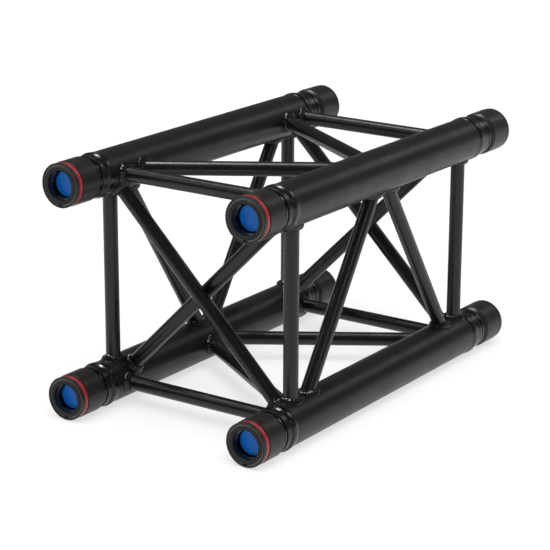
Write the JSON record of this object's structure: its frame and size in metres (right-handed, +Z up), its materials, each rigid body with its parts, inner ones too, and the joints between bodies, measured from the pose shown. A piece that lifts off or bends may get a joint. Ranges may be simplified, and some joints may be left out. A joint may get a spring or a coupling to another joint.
{
  "type": "lighting truss section",
  "caption": "Short square lighting truss section with chord tubes, welded bracing, turning-sleeve receiver couplers at one end and spigot couplers at the other.",
  "frame": {"origin": "middle of the underside, at the centre of the bounding box's bottom", "axes": "+X along the chords from the receivers to the spigots, +Y to the left chords, +Z up"},
  "size_m": [0.519, 0.2848, 0.2848],
  "materials": {
    "chord_coat": "satin black powder coat on extruded aluminium tube",
    "brace_coat": "satin black powder coat on aluminium tube",
    "coupler_body": "black powder coat over machined aluminium",
    "front_ring": "matte black moulded ring",
    "ring_steel": "bright spring steel",
    "seat_metal": "machined aluminium",
    "sleeve_finish": "matte brown-black hard coat on aluminium",
    "red_band": "semi-gloss red elastomer",
    "lock_metal": "dark phosphated steel",
    "spring_steel": "bright spring wire",
    "blue_plastic": "glossy bright blue moulding"
  },
  "bodies": {
    "frame": {"chord_upper_left": "chord_coat", "chord_upper_right": "chord_coat", "chord_lower_left": "chord_coat", "chord_lower_right": "chord_coat", "near_upright_left": "brace_coat", "near_upright_right": "brace_coat", "near_crossbar_upper": "brace_coat", "near_crossbar_lower": "brace_coat", "near_diagonal_outer": "brace_coat", "near_diagonal_inner": "brace_coat", "far_upright_left": "brace_coat", "far_upright_right": "brace_coat", "far_crossbar_upper": "brace_coat", "far_crossbar_lower": "brace_coat", "far_diagonal_outer": "brace_coat", "far_diagonal_inner": "brace_coat", "left_web_near": "brace_coat", "left_web_far": "brace_coat", "right_web_near": "brace_coat", "right_web_far": "brace_coat", "top_web_near": "brace_coat", "top_web_far": "brace_coat", "bottom_web_near": "brace_coat", "bottom_web_far": "brace_coat", "receiver_bodies": "coupler_body", "front_rings": "front_ring", "nose_circlips": "ring_steel", "spring_seats": "seat_metal", "spigot_bodies": "coupler_body", "snap_rings": "ring_steel"},
    "locking_sleeve_ul": {"locking_sleeve_ul": "sleeve_finish", "indicator_ring_ul": "red_band", "lock_ring_ul": "lock_metal", "lock_keys_ul": "lock_metal"},
    "plunger_ul": {"plunger_ul": "blue_plastic", "plunger_spring_ul": "spring_steel"},
    "jam_sleeve_ul": {"jam_sleeve_ul": "sleeve_finish"},
    "locking_sleeve_ur": {"locking_sleeve_ur": "sleeve_finish", "indicator_ring_ur": "red_band", "lock_ring_ur": "lock_metal", "lock_keys_ur": "lock_metal"},
    "plunger_ur": {"plunger_ur": "blue_plastic", "plunger_spring_ur": "spring_steel"},
    "jam_sleeve_ur": {"jam_sleeve_ur": "sleeve_finish"},
    "locking_sleeve_ll": {"locking_sleeve_ll": "sleeve_finish", "indicator_ring_ll": "red_band", "lock_ring_ll": "lock_metal", "lock_keys_ll": "lock_metal"},
    "plunger_ll": {"plunger_ll": "blue_plastic", "plunger_spring_ll": "spring_steel"},
    "jam_sleeve_ll": {"jam_sleeve_ll": "sleeve_finish"},
    "locking_sleeve_lr": {"locking_sleeve_lr": "sleeve_finish", "indicator_ring_lr": "red_band", "lock_ring_lr": "lock_metal", "lock_keys_lr": "lock_metal"},
    "plunger_lr": {"plunger_lr": "blue_plastic", "plunger_spring_lr": "spring_steel"},
    "jam_sleeve_lr": {"jam_sleeve_lr": "sleeve_finish"}
  },
  "joints": [
    {"name": "sleeve_turn_ul", "type": "hinge", "parent": "frame", "child": "locking_sleeve_ul", "pos_m": [-0.2395, 0.1175, 0.2599], "axis": [1, 0, 0], "range_deg": [0, 60]},
    {"name": "plunger_push_ul", "type": "slide", "parent": "frame", "child": "plunger_ul", "axis": [1, 0, 0], "range_m": [0, 0.009], "stiffness_N_per_m": 1200, "springref_m": -0.006, "deforming": ["plunger_spring_ul"]},
    {"name": "jam_turn_ul", "type": "hinge", "parent": "frame", "child": "jam_sleeve_ul", "pos_m": [0.2205, 0.1175, 0.2599], "axis": [-1, 0, 0], "range_deg": [0, 90]},
    {"name": "sleeve_turn_ur", "type": "hinge", "parent": "frame", "child": "locking_sleeve_ur", "pos_m": [-0.2395, -0.1175, 0.2599], "axis": [1, 0, 0], "range_deg": [0, 60]},
    {"name": "plunger_push_ur", "type": "slide", "parent": "frame", "child": "plunger_ur", "axis": [1, 0, 0], "range_m": [0, 0.009], "stiffness_N_per_m": 1200, "springref_m": -0.006, "deforming": ["plunger_spring_ur"]},
    {"name": "jam_turn_ur", "type": "hinge", "parent": "frame", "child": "jam_sleeve_ur", "pos_m": [0.2205, -0.1175, 0.2599], "axis": [-1, 0, 0], "range_deg": [0, 90]},
    {"name": "sleeve_turn_ll", "type": "hinge", "parent": "frame", "child": "locking_sleeve_ll", "pos_m": [-0.2395, 0.1175, 0.0249], "axis": [1, 0, 0], "range_deg": [0, 60]},
    {"name": "plunger_push_ll", "type": "slide", "parent": "frame", "child": "plunger_ll", "axis": [1, 0, 0], "range_m": [0, 0.009], "stiffness_N_per_m": 1200, "springref_m": -0.006, "deforming": ["plunger_spring_ll"]},
    {"name": "jam_turn_ll", "type": "hinge", "parent": "frame", "child": "jam_sleeve_ll", "pos_m": [0.2205, 0.1175, 0.0249], "axis": [-1, 0, 0], "range_deg": [0, 90]},
    {"name": "sleeve_turn_lr", "type": "hinge", "parent": "frame", "child": "locking_sleeve_lr", "pos_m": [-0.2395, -0.1175, 0.0249], "axis": [1, 0, 0], "range_deg": [0, 60]},
    {"name": "plunger_push_lr", "type": "slide", "parent": "frame", "child": "plunger_lr", "axis": [1, 0, 0], "range_m": [0, 0.009], "stiffness_N_per_m": 1200, "springref_m": -0.006, "deforming": ["plunger_spring_lr"]},
    {"name": "jam_turn_lr", "type": "hinge", "parent": "frame", "child": "jam_sleeve_lr", "pos_m": [0.2205, -0.1175, 0.0249], "axis": [-1, 0, 0], "range_deg": [0, 90]}
  ]
}
